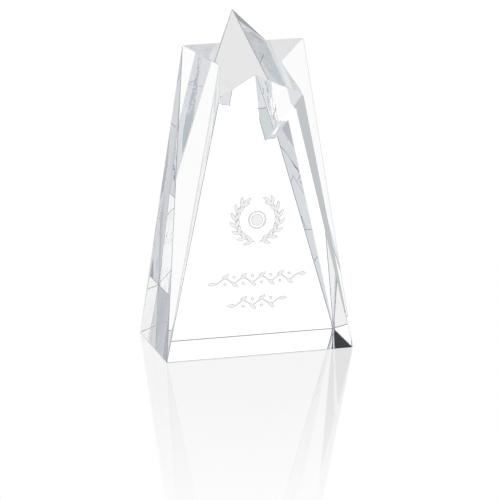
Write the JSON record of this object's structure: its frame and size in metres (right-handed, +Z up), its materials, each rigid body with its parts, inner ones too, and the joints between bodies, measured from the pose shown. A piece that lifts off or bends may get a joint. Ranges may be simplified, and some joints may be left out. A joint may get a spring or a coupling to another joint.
{
  "type": "star trophy",
  "caption": "Clear polished tower award with a rectangular foot, faceted up to a sloping five-pointed star, with frosted wreath and garlands on its front.",
  "frame": {"origin": "middle of the foot's underside, where the award stands", "axes": "+X along the width, to the right seen from the front; -Y out of the front face with the marks; +Z up"},
  "size_m": [0.104, 0.0574, 0.178],
  "materials": {
    "clear_block": "polished clear optical crystal",
    "frosted_mark": "sand-blasted frosted crystal"
  },
  "bodies": {
    "root": {"clear_block": "clear_block", "wreath_left": "frosted_mark", "wreath_right": "frosted_mark", "wreath_boss": "frosted_mark", "upper_garland": "frosted_mark", "lower_garland": "frosted_mark"}
  },
  "joints": []
}
